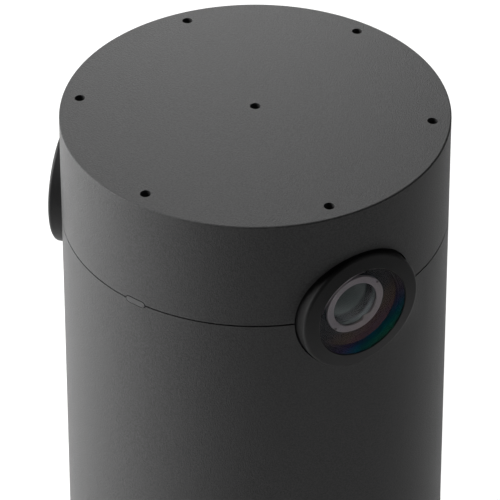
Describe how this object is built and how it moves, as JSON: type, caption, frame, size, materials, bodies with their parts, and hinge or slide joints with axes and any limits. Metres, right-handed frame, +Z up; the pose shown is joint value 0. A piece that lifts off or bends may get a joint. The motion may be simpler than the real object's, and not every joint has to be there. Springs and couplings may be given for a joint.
{
  "type": "table-top twin-lens camera",
  "caption": "Free-standing column camera: fixed wide lenses facing apart, microphone ports in the top, a status light, and sockets at the back of the base.",
  "frame": {"origin": "centre of the base, on the surface that the rubber foot stands on", "axes": "+Z up along the column's axis; -Y is the front, where the status light faces; the sockets are at +Y"},
  "size_m": [0.0952, 0.0952, 0.2711],
  "materials": {
    "graphite_shell": "fine matte texture",
    "light_guide": "frosted",
    "base_plastic": "matte",
    "button_plastic": "satin",
    "switch_black": "satin",
    "rubber": "matte",
    "brass_insert": "machined",
    "plated_steel": "zinc plated",
    "black_screw": "black oxide",
    "plated_screw": "nickel plated",
    "cast_aluminium": "cast",
    "sink_aluminium": "extruded",
    "board_green": "solder mask",
    "chip_black": "moulded",
    "connector_ivory": "moulded",
    "tin_shield": "tin plated",
    "gold_contact": "gold plated",
    "pad_grey": "soft",
    "led_white": "clear",
    "flex_amber": "film",
    "bezel_black": "satin",
    "coated_glass": "anti-reflection coated",
    "ring_grey": "anodised",
    "inner_glass": "coated",
    "barrel_black": "black anodised",
    "seal_foam": "foam",
    "sensor_dark": "glass topped"
  },
  "bodies": {
    "camera": {"ballast_weight": "plated_steel", "base_cover": "base_plastic", "base_screws": "black_screw", "board_chips": "chip_black", "board_connectors": "connector_ivory", "board_screws": "plated_screw", "body_shell": "graphite_shell", "button_switch": "switch_black", "camera_bracket": "cast_aluminium", "camera_flex_a": "flex_amber", "camera_flex_b": "flex_amber", "cap_screws": "plated_screw", "chassis_frame": "cast_aluminium", "dust_seal_a": "seal_foam", "dust_seal_b": "seal_foam", "frame_screws": "plated_screw", "front_glass_a": "coated_glass", "front_glass_b": "coated_glass", "heat_sink": "sink_aluminium", "image_sensor_a": "sensor_dark", "image_sensor_b": "sensor_dark", "inner_lens_a": "inner_glass", "inner_lens_b": "inner_glass", "io_board": "board_green", "io_flex": "flex_amber", "jack_contacts": "gold_contact", "lens_barrel_a": "barrel_black", "lens_barrel_b": "barrel_black", "lens_bezel_a": "bezel_black", "lens_bezel_b": "bezel_black", "lens_holder_a": "barrel_black", "lens_holder_b": "barrel_black", "light_flex": "flex_amber", "main_board": "board_green", "mic_board": "board_green", "mic_flex": "flex_amber", "mic_gaskets": "rubber", "microphones": "gold_contact", "module_screws": "black_screw", "network_jack": "tin_shield", "port_panel": "base_plastic", "processor": "chip_black", "rear_lens_a": "inner_glass", "rear_lens_b": "inner_glass", "retaining_ring_a": "ring_grey", "retaining_ring_b": "ring_grey", "rubber_foot": "rubber", "sensor_board_a": "board_green", "sensor_board_b": "board_green", "shield_can": "tin_shield", "spacer_posts": "brass_insert", "status_led": "led_white", "status_led_board": "board_green", "status_light_pipe": "light_guide", "thermal_pad": "pad_grey", "top_cap": "graphite_shell", "tripod_insert": "brass_insert", "usb_socket": "tin_shield", "usb_tongue": "switch_black"},
    "button": {"power_button": "button_plastic"}
  },
  "joints": [
    {"name": "button_press", "type": "slide", "parent": "camera", "child": "button", "axis": [0, -1, 0], "range_m": [0, 0.0006], "stiffness_N_per_m": 800, "springref_m": -0.001}
  ]
}
